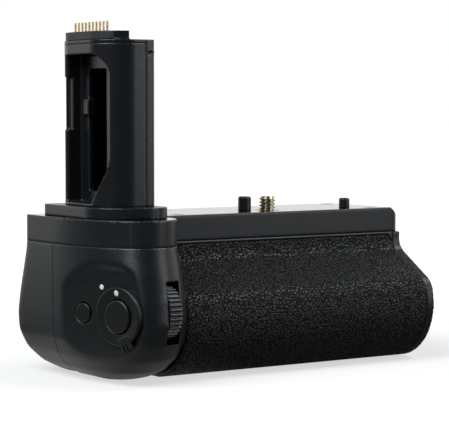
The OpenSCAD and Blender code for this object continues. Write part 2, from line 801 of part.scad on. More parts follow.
// A pan head screw with its head's seat at z and its shank up to top
module screw_up(at, z, top, r, head_r, head_h) {
    difference() {
        union() {
            rod_z(at, z - eps, top, r);
            rod_z(at, z - head_h, z, head_r);
        }
        translate([at[0], at[1], z - head_h - eps]) cross_slot(head_r, head_h * 0.6);
    }
}

// A cross recess, cut upwards from the head's face
module cross_slot(head_r, depth) {
    for (a = [0, 90]) rotate([0, 0, a]) translate([-head_r * 0.6, -0.3, 0]) cube([head_r * 1.2, 0.6, depth]);
}

// Screws that hold the tower to the deck from below
module tower_screws() {
    color(steel) for (p = tower_screw_at) screw_up(p, -deck_t, tower_screw_top, pod_screw_r,
        pod_screw_head, 1.6);
}

// Tripod screw with its gear's seat and lower journal
thread_root = screw_d / 2 - 0.62;
crests = 4;
module tripod_screw() {
    top_crest = screw_h - 0.75;
    color(brass) rotate_extrude() polygon(concat(
        [[0, plate_z + 0.1], [axle_r, plate_z + 0.1], [axle_r, gear_z - 0.6], [shank_r, gear_z - 0.6],
            [shank_r, 0], [screw_d / 2, 0], [screw_d / 2, 0.25]],
        [for (k = [crests - 1:-1:0], p = [[thread_root, -0.4], [screw_d / 2, -0.16], [screw_d / 2, 0.16],
            [thread_root, 0.4]]) [p[0], top_crest - k * screw_pitch + p[1]]],
        [[thread_root, screw_h - 0.3], [thread_root - 0.3, screw_h], [0, screw_h]]));
}

// Ring in the deck that the screw turns in
module screw_bush() {
    color(dark) difference() {
        rod_z([0, 0], -bush_h, 0, bush_r);
        rod_z([0, 0], -bush_h - 1, 1, shank_r + running);
    }
}

// A spur gear blank with straight sided teeth
module spur(bore) {
    step = 360 / gear_teeth;
    difference() {
        linear_extrude(gear_w) polygon([for (i = [0:gear_teeth - 1], p = [[gear_root_r, -6.2],
            [gear_tip_r, -2.4], [gear_tip_r, 2.4], [gear_root_r, 6.2]])
            p[0] * [cos(i * step + p[1]), sin(i * step + p[1])]]);
        translate([0, 0, -1]) cylinder(r = bore, h = gear_w + 2);
    }
}

// Gear on the tripod screw
module screw_gear() {
    color(steel) translate([0, 0, gear_z]) rotate([0, 0, 90]) spur(shank_r);
}

// Bearing plate under the two gears
module gear_plate() {
    color(steel) difference() {
        span([-plate_reach[0], plate_reach[1], plate_z], [plate_reach[0], plate_reach[2], plate_z + plate_t]);
        rod_z([0, 0], plate_z - 1, 0, axle_r + running);
        rod_z([0, axle_y], plate_z - 1, 0, axle_r + running);
        for (p = plate_post_at) rod_z(p, plate_z - 1, 0, plate_screw_r + 0.2);
    }
}

// Screws of the bearing plate
module gear_plate_screws() {
    color(steel) for (p = plate_post_at) screw_up(p, plate_z, -deck_t - 4.6, plate_screw_r, 2, 1.2);
}

// Ribbed outline of a wheel
function ribbed(r, ribs, depth) = [for (i = [0:4 * ribs - 1]) let (
    a = 90 * i / ribs, d = r - (i % 4 < 2 ? 0 : depth)) d * [cos(a), sin(a)]];

// Thumb wheel that drives the tripod screw from the back
module attachment_wheel() {
    color(dark) translate([0, axle_y, wheel_z]) difference() {
        linear_extrude(wheel_w) polygon(ribbed(wheel_r, 48, 0.5));
        translate([0, 0, -1]) cylinder(r = axle_r, h = wheel_w + 2);
    }
}

// Gear on the thumb wheel's axle
module wheel_gear() {
    color(steel) translate([0, axle_y, gear_z]) rotate([0, 0, 180 / gear_teeth - 90]) spur(axle_r);
}

// Axle of the thumb wheel
module wheel_axle() {
    color(steel) rod_z([0, axle_y], wheel_z - 1.5, -deck_t - 1, axle_r);
}

// A locating pin with a chamfered top
module locating_pin(at, r, h) {
    chamfer = 0.5;
    rod_z(at, -pin_sunk, eps, r - pin_step);
    rod_z(at, 0, h - chamfer, r);
    translate([at[0], at[1], h - chamfer]) cylinder(r1 = r, r2 = r - chamfer, h = chamfer);
}

// Locating pin beside the tripod screw
module large_locating_pin() {
    color(dark) locating_pin(pin_a_at, pin_a_d / 2, pin_a_h);
}

// Locating pin near the tray end
module small_locating_pin() {
    color(dark) locating_pin(pin_b_at, pin_b_d / 2, pin_b_h);
}

// Threaded brass insert in the underside
module tripod_socket() {
    color(brass) difference() {
        rod_z(socket_at, -body_h, socket_h - body_h, socket_r);
        rod_z(socket_at, -body_h - 1, socket_h - body_h - 0.8, screw_d / 2);
    }
}

// Countersunk screws through the deck
module deck_screws() {
    head = 1.3;
    color(steel) for (p = deck_screw_at) difference() {
        union() {
            rod_z(p, -deck_screw_depth, -head, deck_screw_r);
            translate([p[0], p[1], -head]) cylinder(r1 = deck_screw_r, r2 = deck_screw_head, h = head);
        }
        translate([p[0], p[1], -0.8]) cross_slot(deck_screw_head, 2);
    }
}

// Screws through the pod's floor into the deck posts
module pod_screws() {
    color(steel) for (p = post_at) screw_up(p, pod_screw_seat, post_end + 7, pod_screw_r,
        pod_screw_head, 1.6);
}

// Floor and inner end that the tray runs on
module battery_chamber() {
    color(dark) {
        span([chamber_x, chamber_y[0], chamber_z], [end_x - 0.2, chamber_y[1], chamber_z + chamber_t]);
        span([chamber_x, chamber_y[0], chamber_z], [chamber_x + chamber_t, chamber_y[1], chamber_top]);
    }
}

// Sprung blades at the chamber's inner end
module chamber_contacts() {
    color(gold) for (y = blade_y) span([chamber_x + chamber_t, y, blade_z[0]],
        [tray_left - 0.6, y + blade_w, blade_z[1]]);
}

// Tray for two batteries end to end
module battery_tray() {
    y0 = tray_y - tray_w / 2;
    color(dark) difference() {
        span([tray_left, y0, tray_z], [tray_right, y0 + tray_w, tray_z + tray_h]);
        for (k = [0, 1]) {
            x0 = tray_left + tray_wall + k * (battery_l + tray_wall);
            span([x0, y0 + tray_wall, tray_z + tray_floor],
                [x0 + battery_l, y0 + tray_w - tray_wall, tray_z + tray_h + 1]);
        }
        translate([0, tray_y, latch_z]) {
            rod_x(tray_right - 5, tray_right + 1, latch_shaft_r + running);
            rod_x(tray_right - tray_end - 1, tray_right - 1.2, 4.6);
        }
    }
}

// Contact strips on the tray's inner end
module tray_contacts() {
    color(gold) for (y = blade_y) span([tray_left - 0.3, y - 0.4, blade_z[0]],
        [tray_left, y + blade_w + 0.4, blade_z[1]]);
}

// Outer door of the tray, flush with the grip's end
module tray_end_cover() {
    color(black) difference() {
        rounded_bar(tray_right, body_right, door_y + [door_gap, -door_gap],
            door_z + [door_gap, -door_gap], door_corner - door_gap);
        translate([0, tray_y, latch_z]) {
            rod_x(body_right - latch_sunk, body_right + 1, latch_r + 0.4);
            rod_x(0, body_right, latch_shaft_r + running);
        }
    }
}

// Turning latch of the tray, with a finger bar
module tray_latch() {
    back = body_right - latch_sunk + 0.2;
    color(dark) translate([0, tray_y, latch_z]) {
        difference() {
            rod_x(back, body_right - 0.1, latch_r);
            for (s = [-1, 1]) translate([back + 0.6, s * 5.2 - 3.2, -latch_r]) cube([5, 6.4, 2 * latch_r]);
        }
        rod_x(tray_right - tray_end + 0.3, back + eps, latch_shaft_r);
    }
}

// Ring that keeps the latch in the tray's end wall
module latch_clip() {
    color(steel) translate([0, tray_y, latch_z]) difference() {
        rod_x(tray_right - tray_end + 0.5, tray_right - 1.4, 4);
        rod_x(0, tray_right, latch_shaft_r);
    }
}

// Main board hung under the deck, with its larger chips
module main_board() {
    x = standoff_x + [-4, 4];
    y = [6 - deck_front, deck_rear - 6.2];
    chips = [[-34, 8, 9], [-20, 13, 6], [18, 2, 7], [30, 11, 8]];
    color(board_green) difference() {
        union() {
            span([x[0], y[0], board_top - board_t], [x[1], y[1], board_top]);
            for (c = chips) span([c[0], c[1], board_top - eps],
                [c[0] + c[2], c[1] + c[2], board_top + 1.2]);
        }
        for (p = standoff_at) rod_z(p, board_top - 5, 0, plate_screw_r + 0.2);
    }
}

// Screws of the main board
module board_screws() {
    color(steel) for (p = standoff_at) screw_up(p, board_top - board_t, board_top + 5, plate_screw_r,
        2, 1.2);
}

// Board behind the control face
module control_board() {
    color(board_green) on_face() translate([-11, -3.6, switch_board - 1]) cube([22, 25.6, 1]);
}

// Shutter button with its retaining flange and stem
shutter_switch_h = 1.6;
stem_end = switch_board + shutter_switch_h + shutter_travel + 0.2;
module shutter_button() {
    r = shutter_d / 2;
    color(dark) on_face() rotate_extrude() polygon(concat(
        [[0, stem_end], [2, stem_end], [2, neck_end - 1.2], [r + 0.9, neck_end - 1.2],
            [r + 0.9, neck_end - 0.2], [r, neck_end - 0.2], [r, shutter_top - 0.6]],
        arc([r - 0.6, shutter_top - 0.6], 0.6, 0, 90, 4), [[0, shutter_top]]));
}

// Two stage switch under the shutter button
module shutter_switch() {
    color(steel) on_face() translate([-3.5, -3.5, switch_board]) cube([7, 7, shutter_switch_h]);
}

// Lock ring round the shutter button, with its lever
module lock_collar() {
    r = collar_d / 2;
    color(dark) on_face() {
        rotate_extrude() polygon(concat([[collar_bore, neck_end], [neck_r, neck_end], [neck_r, 0.1],
            [r, 0.1], [r, collar_h - 0.5]], arc([r - 0.5, collar_h - 0.5], 0.5, 0, 90, 4),
            [[collar_bore, collar_h - collar_dish]]));
        rotate([0, 0, lever_turn]) difference() {
            span([-lever_reach[1], -lever_w / 2, 0.1], [-lever_reach[0], lever_w / 2, collar_h]);
            for (y = lever_slits) span([-lever_reach[1] - 1, y - 0.3, collar_h - 0.9],
                [0.7 - collar_d / 2, y + 0.3, collar_h + 1]);
        }
    }
}

// Ring that keeps the lock ring in the control face
module collar_clip() {
    color(steel) on_face() difference() {
        translate([0, 0, neck_end]) cylinder(r = neck_r + 1.6, h = -wall - neck_end - 0.1);
        translate([0, 0, -20]) cylinder(r = neck_r, h = 30);
    }
}

// Function button beside the shutter button
fn_top = 0.35;
module fn_button() {
    r = fn_d / 2;
    color(dark) on_face() translate([0, fn_gap, 0]) rotate_extrude() polygon(concat(
        [[0, -5.2], [1.5, -5.2], [1.5, -wall - 1.3], [r + 1, -wall - 1.3], [r + 1, -wall - 0.3],
            [r, -wall - 0.3], [r, fn_top - 0.4]], arc([r - 0.4, fn_top - 0.4], 0.4, 0, 90, 4),
        [[0, fn_top]]));
}

// Switch under the function button
module fn_switch() {
    color(steel) on_face() translate([-3, fn_gap - 3, switch_board]) cube([6, 6, 1.7]);
}

// A ribbed dial on an axis along X
module dial(x, at, r, bore) {
    translate([x, at[0], at[1]]) difference() {
        along_x(0, dial_w) polygon(ribbed(r, dial_ribs, dial_rib_h));
        rod_x(-1, dial_w + 1, bore);
    }
}

// Dial for the forefinger, in the nose
module front_dial() {
    color(dark) dial(dial_x, dial_at, dial_r, dial_axle_r);
}

// Axle of the front dial
module front_dial_axle() {
    color(steel) translate([0, dial_at[0], dial_at[1]])
        rod_x(dial_x - 2.2, dial_x + dial_w + 2.2, dial_axle_r);
}

// Two cheeks and a bar between them that carry a dial's axle
module axle_bracket(x, at, bar_y, bar_z) {
    cheek = 1.2;
    difference() {
        union() {
            for (c = [x - 2, x + dial_w + 0.8]) hull() {
                translate([0, at[0], at[1]]) rod_x(c, c + cheek, dial_axle_r + 0.8);
                span([c, bar_y[0], bar_z[0]], [c + cheek, bar_y[1], bar_z[1]]);
            }
            span([x - 2, bar_y[0], bar_z[0]], [x + dial_w + 2, bar_y[1], bar_z[1]]);
        }
        translate([0, at[0], at[1]]) rod_x(x - 5, x + dial_w + 5, dial_axle_r + running);
    }
}

// Bracket of the front dial, with its bar over the dial's back
module dial_bracket() {
    back = dial_at[0] + dial_r - 0.3;
    foot = dial_at[1] + 0.6 * dial_r;
    color(steel) axle_bracket(dial_x, dial_at, [back - 1.2, back], [foot, foot + 2.4]);
}

// Dial for the thumb, in the back
module rear_dial() {
    color(dark) dial(rear_dial_x, rear_dial_at, rear_dial_d / 2, dial_axle_r);
}

// Axle of the rear dial
module rear_dial_axle() {
    color(steel) translate([0, rear_dial_at[0], rear_dial_at[1]])
        rod_x(rear_dial_x - 2.2, rear_dial_x + dial_w + 2.2, dial_axle_r);
}

// Bracket of the rear dial
module rear_dial_bracket() {
    back = rear_dial_at[0] - rear_dial_d / 2 - 2.4;
    color(steel) axle_bracket(rear_dial_x, rear_dial_at, [back, back + 1.2],
        [rear_dial_z - 3.5, rear_dial_z + 3.5]);
}

// Rear button for the thumb, pressed towards the front
af_top = rear_face(af_at[1]) + 1.2;
af_flange = [af_top - 6.6, af_top - 5.6];
af_stem_end = af_flange[0] - 1.8;
module af_button() {
    color(dark) translate([af_at[0], 0, af_at[1]]) rotate([-90, 0, 0]) rotate_extrude() polygon(concat(
        [[0, af_stem_end], [1.5, af_stem_end], [1.5, af_flange[0]], [af_r + 1, af_flange[0]],
            [af_r + 1, af_flange[1]], [af_r, af_flange[1]], [af_r, af_top - 0.6]],
        arc([af_r - 0.6, af_top - 0.6], 0.6, 0, 90, 4), [[0, af_top]]));
}

// Switch under the rear button
rear_board_y = af_stem_end - 3.2;
rear_board_x = [af_at[0] - 4.2, af_at[0] + 6.5];
rear_board_z = [af_at[1] - 7, af_at[1] + 8];
rear_board_posts = [[af_at[0] + 5, af_at[1] - 5], [af_at[0] - 3.4, af_at[1] + 6]];
module af_switch() {
    color(steel) span([af_at[0] - 3, rear_board_y, af_at[1] - 3],
        [af_at[0] + 3, rear_board_y + 2, af_at[1] + 3]);
}

// Small board behind the rear button
module rear_board() {
    color(board_green) span([rear_board_x[0], rear_board_y - 1, rear_board_z[0]],
        [rear_board_x[1], rear_board_y, rear_board_z[1]]);
}

// Thumb stick
module joystick() {
    cap = [stick_at[1] + 4.8, stick_at[1] + 7.6];
    color(dark) translate([stick_at[0], 0, stick_at[2]]) rotate([-90, 0, 0]) rotate_extrude()
        polygon(concat(
        [[0, stick_at[1] - 1.4]], arc([0, stick_at[1]], 1.9, -47, 45, 8), [[1.3, cap[0]], [3.4, cap[0]],
            [3.4, cap[1] - 1]], arc([2.4, cap[1] - 1], 1, 0, 90, 4), [[0, cap[1] - 0.4]]));
}

// Ring that lets the stick tilt both ways
module joystick_gimbal() {
    outer = 3.6;
    inner = 2.5;
    half = 0.8;
    color(steel) translate(stick_at) difference() {
        span([-outer, -half, -outer], [outer, half, outer]);
        span([-inner, -half - 1, -inner], [inner, half + 1, inner]);
    }
}

// Base that carries the stick behind the rear cover
module joystick_base() {
    y = [stick_at[1] - 3.2, stick_at[1] - 2.3];
    half = 5.2;
    color(steel) translate([stick_at[0], 0, stick_at[2]]) {
        span([-half, y[0], -half], [half, y[1], half]);
        for (sx = [-1, 1], sz = [-1, 1]) translate([sx * (half - 0.7), 0, sz * (half - 0.7)])
            rod_y(y[1] - eps, stick_at[1] + 2, 0.7);
    }
}

upper_case();
lower_case();
control_pod();
pod_rear_cover();
end_cap();
grip_cover();
thumb_pad();
tower_flange();
tower_shell();
tower_back_cover();
tower_cap();
contact_block();
contact_pins();
contact_board();
tower_ribbon();
tower_screws();
tripod_screw();
screw_bush();
screw_gear();
gear_plate();
gear_plate_screws();
attachment_wheel();
wheel_gear();
wheel_axle();
large_locating_pin();
small_locating_pin();
tripod_socket();
deck_screws();
pod_screws();
battery_chamber();
chamber_contacts();
battery_tray();
tray_contacts();
tray_end_cover();
tray_latch();
latch_clip();
main_board();
board_screws();
control_board();
shutter_button();
shutter_switch();
lock_collar();
collar_clip();
fn_button();
fn_switch();
front_dial();
front_dial_axle();
dial_bracket();
rear_dial();
rear_dial_axle();
rear_dial_bracket();
af_button();
af_switch();
rear_board();
joystick();
joystick_gimbal();
joystick_base();
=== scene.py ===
import math

import bmesh
import bpy
import numpy as np
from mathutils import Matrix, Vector


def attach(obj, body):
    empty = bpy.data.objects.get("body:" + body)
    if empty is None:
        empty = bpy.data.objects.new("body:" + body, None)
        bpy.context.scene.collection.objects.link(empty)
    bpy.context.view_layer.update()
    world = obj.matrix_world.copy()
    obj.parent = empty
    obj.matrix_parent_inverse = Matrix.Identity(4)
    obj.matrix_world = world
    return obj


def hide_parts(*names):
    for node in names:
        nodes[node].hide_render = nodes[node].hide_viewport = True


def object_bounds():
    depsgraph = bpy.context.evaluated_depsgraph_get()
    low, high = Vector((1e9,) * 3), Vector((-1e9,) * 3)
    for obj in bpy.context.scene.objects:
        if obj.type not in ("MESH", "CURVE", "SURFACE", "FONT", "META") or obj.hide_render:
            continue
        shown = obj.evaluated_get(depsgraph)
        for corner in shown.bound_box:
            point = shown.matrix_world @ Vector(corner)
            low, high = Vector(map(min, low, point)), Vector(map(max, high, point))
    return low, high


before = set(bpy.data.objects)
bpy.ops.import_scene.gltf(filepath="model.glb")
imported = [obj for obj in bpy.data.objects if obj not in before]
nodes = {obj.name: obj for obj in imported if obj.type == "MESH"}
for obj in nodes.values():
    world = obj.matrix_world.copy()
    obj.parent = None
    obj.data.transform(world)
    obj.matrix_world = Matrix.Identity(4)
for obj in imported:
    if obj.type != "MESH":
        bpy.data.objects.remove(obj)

cad_low, cad_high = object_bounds()
scene = bpy.context.scene
scene.view_settings.view_transform = "Standard"

# Upper case, the deck plate with its side band. Injection moulded black ABS, textured by spark erosion
# on its outer faces, and screwed down onto the lower case. The tool's edges leave half millimetre rounds.


def linear(hex_colour):
    """sRGB hex to the linear colour that a shader takes."""
    parts = [int(hex_colour[i:i + 2], 16) / 255 for i in (1, 3, 5)]
    return [c / 12.92 if c <= 0.04045 else ((c + 0.055) / 1.055) ** 2.4 for c in parts] + [1.0]


def add_node(tree, kind, inputs, **settings):
    """Adds a node, sets its options, and sets or links each of its named inputs."""
    made = tree.nodes.new(kind)
    for key, value in settings.items():
        setattr(made, key, value)
    for key, value in inputs.items():
        if isinstance(value, bpy.types.NodeSocket):
            tree.links.new(value, made.inputs[key])
        else:
            made.inputs[key].default_value = value
    return made


def empty_material(name):
    """A material with no nodes yet, and its node tree."""
    made = bpy.data.materials.new(name)
    made.use_nodes = True
    made.node_tree.nodes.clear()
    return made, made.node_tree


def moulded_plastic(name, low, high, roughness, grit_mm, grit_depth_mm, worn="#2c2f31", rubbed=0.0):
    """Moulded plastic: a sand texture from the spark eroded tool, a broad cloudy tone, paler worn edges.
    The real sand is some 0.05 mm wide, too fine to show in the render, so grit_mm draws it coarser.
    rubbed says how far its level top is polished by what slides over it."""
    cloud_mm = 14
    made, tree = empty_material(name)
    coordinates = add_node(tree, "ShaderNodeTexCoord", {})
    place = coordinates.outputs["Object"]
    cloud = add_node(tree, "ShaderNodeTexNoise", {"Vector": place, "Scale": 1000 / cloud_mm, "Detail": 4.0})
    tone = add_node(tree, "ShaderNodeMix", {0: cloud.outputs["Fac"], 6: linear(low), 7: linear(high)},
                    data_type="RGBA")
    edge = add_node(tree, "ShaderNodeNewGeometry", {})
    wear = add_node(tree, "ShaderNodeMapRange", {
        "Value": edge.outputs["Pointiness"], "From Min": 0.53, "From Max": 0.62, "To Max": 0.35})
    skin = add_node(tree, "ShaderNodeMix", {
        0: wear.outputs["Result"], 6: tone.outputs[2], 7: linear(worn)}, data_type="RGBA")
    grit = add_node(tree, "ShaderNodeTexNoise", {"Vector": place, "Scale": 1000 / grit_mm, "Detail": 3.0})
    rough = add_node(tree, "ShaderNodeMapRange", {
        "Value": grit.outputs["Fac"], "From Min": 0.3, "From Max": 0.7,
        "To Min": roughness - 0.06, "To Max": roughness + 0.06})
    facing = add_node(tree, "ShaderNodeSeparateXYZ", {"Vector": coordinates.outputs["Normal"]})
    matt = add_node(tree, "ShaderNodeMapRange", {
        "Value": facing.outputs["Z"], "From Min": 0.97, "From Max": 0.995,
        "To Min": 1.0, "To Max": 1 - rubbed})
    polish = add_node(tree, "ShaderNodeMath", {0: rough.outputs["Result"], 1: matt.outputs["Result"]},
                      operation="MULTIPLY")
    relief = add_node(tree, "ShaderNodeBump", {
        "Height": grit.outputs["Fac"], "Strength": matt.outputs["Result"], "Distance": grit_depth_mm / 1000})
    shader = add_node(tree, "ShaderNodeBsdfPrincipled", {
        "Base Color": skin.outputs[2], "Roughness": polish.outputs["Value"], "IOR": 1.5,
        "Normal": relief.outputs["Normal"]})
    add_node(tree, "ShaderNodeOutputMaterial", {"Surface": shader.outputs["BSDF"]})
    return made


def true_round(points, plane, centre, radius, start, end):
    """Puts the points that lie on a faceted round onto the round itself; angles in degrees, sizes in mm."""
    facet_mm = 0.11
    rel = points[:, plane] - np.array(centre)
    reach = np.hypot(rel[:, 0], rel[:, 1])
    angle = (np.degrees(np.arctan2(rel[:, 1], rel[:, 0])) - start) % 360
    near = (np.abs(reach - radius) < facet_mm) & (angle < (end - start) % 360.001)
    points[np.ix_(near, plane)] = np.array(centre) + rel[near] * (radius / reach[near])[:, None]


def moulding(node, body, material, voxel_mm, rounds, soften=(), arcs=(), seams=()):
    """A copy of a CAD node with the small rounds that a mould leaves on every edge; it stands for the node.
    soften holds further turns of blending with a weight for each point, arcs the true rounds of its
    outline, and seams the planes where it meets its neighbour in a hairline, each an axis and a place."""
    hairline_mm = 0.3
    bm = bmesh.new()
    bm.from_mesh(nodes[node].data)
    bmesh.ops.remove_doubles(bm, verts=bm.verts, dist=1e-6)
    coarse = bpy.data.meshes.new(node + "_coarse")
    bm.to_mesh(coarse)
    bm.free()
    piece = bpy.data.objects.new(node + "_moulding", coarse)
    scene.collection.objects.link(piece)
    remesh = piece.modifiers.new("Fill", "REMESH")
    remesh.mode = "VOXEL"
    remesh.voxel_size = voxel_mm / 1000
    mesh = bpy.data.meshes.new_from_object(piece.evaluated_get(bpy.context.evaluated_depsgraph_get()))
    piece.modifiers.clear()
    count = len(mesh.vertices)
    points = np.empty(count * 3)
    mesh.vertices.foreach_get("co", points)
    points = points.reshape(-1, 3)
    ends = np.empty(len(mesh.edges) * 2, dtype=np.int64)
    mesh.edges.foreach_get("vertices", ends)
    a, b = ends[0::2], ends[1::2]
    degree = (np.bincount(a, minlength=count) + np.bincount(b, minlength=count))[:, None]

    def relax(turns, weight):
        """Moves each point half way to the mean of its neighbours, turn by turn."""
        nonlocal points
        for _ in range(turns):
            mean = np.stack([np.bincount(a, points[b, k], count) + np.bincount(b, points[a, k], count)
                             for k in range(3)], axis=1) / degree
            points = points + 0.5 * weight * (mean - points)

    relax(rounds, 1.0)
    for turns, weigh in soften:
        relax(turns, weigh(points * 1000)[:, None])
    points *= 1000
    for arc in arcs:
        true_round(points, *arc)
    for axis, place in seams:
        points[np.abs(points[:, axis] - place) < hairline_mm, axis] = place
    points /= 1000
    mesh.vertices.foreach_set("co", points.ravel())
    mesh.update()
    mesh.shade_smooth()
    mesh.name = node + "_moulding"
    mesh.materials.clear()
    mesh.materials.append(material)
    piece.data = mesh
    bpy.data.meshes.remove(coarse)
    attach(piece, body)
    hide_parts(node)


# Deep black with a soft sheen over fine sand; the deck's top is rubbed smooth and mirrors the room.
case_abs = moulded_plastic("abs_spark_textured_black", "#0f1215", "#14181c", roughness=0.38,
                           grit_mm=0.55, grit_depth_mm=0.03, rubbed=0.8)
# Each arc of the outline is its plane, its centre and radius in mm, and the degrees that it runs between.
across, upright = [0, 1], [1, 2]
deck_arcs = [(across, (52, 24.2), 4, 0, 90), (across, (-86.1, 24.7), 3.5, 90, 180),
             (across, (-17.25, 5), 72.35, 180, 207.3), (across, (-70, -22.2), 13, 207.3, 360),
             (across, (-53, -15), 4, 90, 180), (across, (52, -7), 4, 270, 360)]
band_seam, pod_seam = (2, -9.5), (1, 5.6)
moulding("upper_case", "grip", case_abs, voxel_mm=0.4, rounds=2, arcs=deck_arcs,
         seams=[band_seam])

# Lower case and end cap, the long hollow moulding under the deck and the frame round the tray's mouth.
# The same black ABS. The section is a hollow under the deck, a slope, a brow, the hand's bulge and a rear
# round, each running into the next.
slope = math.radians(32)
hollow_r, brow_r, bulge_r, rear_r = 6, 8, 22, 21
hollow, bulge, rear = np.array([-17.0, -12.0]), np.array([-10.3, -36.2]), np.array([15.0, -37.2])
back_edge = np.array([28.2, -9.5])
inward = np.array([math.sin(slope), -math.cos(slope)])
along = np.array([-math.cos(slope), -math.sin(slope)])
brow_start = hollow + hollow_r * inward + brow_r * inward
reach = brow_start - bulge
run = reach @ along
brow = brow_start + along * (math.sqrt(run ** 2 - reach @ reach + (bulge_r - brow_r) ** 2) - run)
brow_end = math.degrees(math.atan2(*(brow - bulge)[::-1])) % 360
rear_far = back_edge - rear
rear_end = math.degrees(math.atan2(*rear_far[::-1]) - math.acos(rear_r / np.hypot(*rear_far)))
grip_arcs = [(upright, hollow, hollow_r, -58, 0), (upright, brow, brow_r, 122, brow_end),
             (upright, bulge, bulge_r, brow_end, 270), (upright, rear, rear_r, 270, 360 + rear_end)]
moulding("lower_case", "grip", case_abs, voxel_mm=0.42, rounds=2, arcs=grip_arcs)
moulding("end_cap", "grip", case_abs, voxel_mm=0.35, rounds=3, arcs=grip_arcs)

# Control pod and its rear cover, the two halves of the control end. Moulded black ABS, parted along an
# upright seam, held by screws from below into the deck's posts.

# A shade darker than the case and a little shinier, with the same sand.
pod_abs = moulded_plastic("abs_fine_textured_black", "#0d1114", "#12171a", roughness=0.35,
                          grit_mm=0.55, grit_depth_mm=0.03)
face_centre = np.array([-81.4, -28.1, -33.1])
face_turn = math.radians(16.3)
face_out = np.array([-math.cos(face_turn), -math.sin(face_turn), 0.0])
face_up = np.array([0.0, 0.0, 1.0])
face_back = np.cross(face_out, face_up)
crease_r, crease_w = 15.5, 4
fn_back, pod_end_x, rear_face_y = 18.2, -57, 15
# A slot is its middle and its half sizes along X and Z, and a rear hole its middle.
front_slot, rear_slot = ((-66.2, -32.2), (3.1, 11)), ((-81.0, -28), (3.1, 9.6))
af_hole, stick_hole = (-67.5, -19), (-70.9, -35)
# Where the blending starts beside each of these, and where it is full.
seam_clear, slot_clear, collar_clear, fn_clear = (0.6, 3), (0.6, 2.5), (9.5, 12), (4.4, 6)
af_clear, stick_clear = (4.8, 6.5), (5.7, 7)


def fade(distance, start, end):
    """0 up to start, 1 from end on."""
    return np.clip((distance - start) / (end - start), 0, 1)


def crease_weight(points):
    """How far the hollowed edge round the collar is blended, from 1 on the edge to 0 some 4 mm away."""
    local = points - face_centre
    up, back, out = local @ face_up, local @ face_back, local @ face_out
    off = np.abs(np.hypot(up, back) - crease_r)
    return (1 - fade(off, 0, crease_w)) * fade(up, -3, 1) * fade(out, -0.8, 0)


def off_slot(x, z, slot):
    """How far a point lies outside a slot."""
    (mid_x, mid_z), (half_x, half_z) = slot
    return np.maximum(np.abs(x - mid_x) - half_x, np.abs(z - mid_z) - half_z)


def flank_weight(points):
    """The pod's broad faces, leaving its seams, the button holes and the dial slots crisp."""
    local = points - face_centre
    up, back = local @ face_up, local @ face_back
    x, y, z = points.T
    weight = fade(np.abs(z - band_seam[1]), *seam_clear) * fade(np.abs(y - pod_seam[1]), *seam_clear)
    weight *= fade(np.abs(x - pod_end_x), *seam_clear)
    weight *= fade(np.hypot(up, back), *collar_clear) * fade(np.hypot(up, back - fn_back), *fn_clear)
    weight *= np.where(y < 0, fade(off_slot(x, z, front_slot), *slot_clear),
                       fade(off_slot(x, z, rear_slot), *slot_clear))
    rear_holes = fade(np.hypot(x - af_hole[0], z - af_hole[1]), *af_clear)
    rear_holes *= fade(np.hypot(x - stick_hole[0], z - stick_hole[1]), *stick_clear)
    return weight * np.where(y > rear_face_y, rear_holes, 1)


moulding("control_pod", "grip", pod_abs, voxel_mm=0.32, rounds=2,
         soften=[(45, flank_weight), (14, crease_weight)], seams=[band_seam, pod_seam])
moulding("pod_rear_cover", "grip", pod_abs, voxel_mm=0.36, rounds=2,
         soften=[(70, flank_weight)], seams=[band_seam, pod_seam])

# Grip cover and thumb pad, rubber skins over the hand bulge and behind it. Moulded in a tool with a
# pebbled leather grain and glued into shallow beds in the lower case.


def grained_rubber(name, low, high):
    """Moulded rubber: rounded pebbles about a millimetre wide with a dotted shine, and dull grooves between
    them painted darker and less shiny, a painted shade in the creases.
    The pebbles wander because their tool was etched from leather, and each has a finer skin of its own."""
    pebble_mm, wander_mm, fine_mm, relief_mm = 1.25, 1.6, 0.5, 0.52
    bend = (0.0011, 0.0011, 0.0011)
    made, tree = empty_material(name)
    place = add_node(tree, "ShaderNodeTexCoord", {}).outputs["Object"]
    drift = add_node(tree, "ShaderNodeTexNoise", {"Vector": place, "Scale": 1000 / wander_mm, "Detail": 2.0})
    shift = add_node(tree, "ShaderNodeVectorMath", {0: drift.outputs["Color"], 1: bend}, operation="MULTIPLY")
    bent = add_node(tree, "ShaderNodeVectorMath", {0: place, 1: shift.outputs["Vector"]}, operation="ADD")
    cells = add_node(tree, "ShaderNodeTexVoronoi", {
        "Vector": bent.outputs["Vector"], "Scale": 1000 / pebble_mm}, feature="DISTANCE_TO_EDGE")
    pebble = add_node(tree, "ShaderNodeMapRange", {"Value": cells.outputs["Distance"], "From Max": 0.24},
                      interpolation_type="SMOOTHSTEP")
    fine = add_node(tree, "ShaderNodeTexNoise", {"Vector": place, "Scale": 1000 / fine_mm, "Detail": 2.0})
    height = add_node(tree, "ShaderNodeMath", {
        0: fine.outputs["Fac"], 1: 0.35, 2: pebble.outputs["Result"]}, operation="MULTIPLY_ADD")
    relief = add_node(tree, "ShaderNodeBump", {
        "Height": height.outputs["Value"], "Strength": 1.0, "Distance": relief_mm / 1000})
    # The grooves take the darker colour, a painted shade in the creases between the pebbles.
    tone = add_node(tree, "ShaderNodeMix", {0: pebble.outputs["Result"], 6: linear(low), 7: linear(high)},
                    data_type="RGBA")
    rough = add_node(tree, "ShaderNodeMapRange", {
        "Value": pebble.outputs["Result"], "To Min": 0.8, "To Max": 0.44})
    # The grooves shine less than the pebble tops, a painted shade in the creases.
    shine = add_node(tree, "ShaderNodeMapRange", {
        "Value": pebble.outputs["Result"], "To Min": 0.19, "To Max": 0.56})
    shader = add_node(tree, "ShaderNodeBsdfPrincipled", {
        "Base Color": tone.outputs[2], "Roughness": rough.outputs["Result"], "IOR": 1.52,
        "Specular IOR Level": shine.outputs["Result"], "Normal": relief.outputs["Normal"]})
    add_node(tree, "ShaderNodeOutputMaterial", {"Surface": shader.outputs["BSDF"]})
    return made
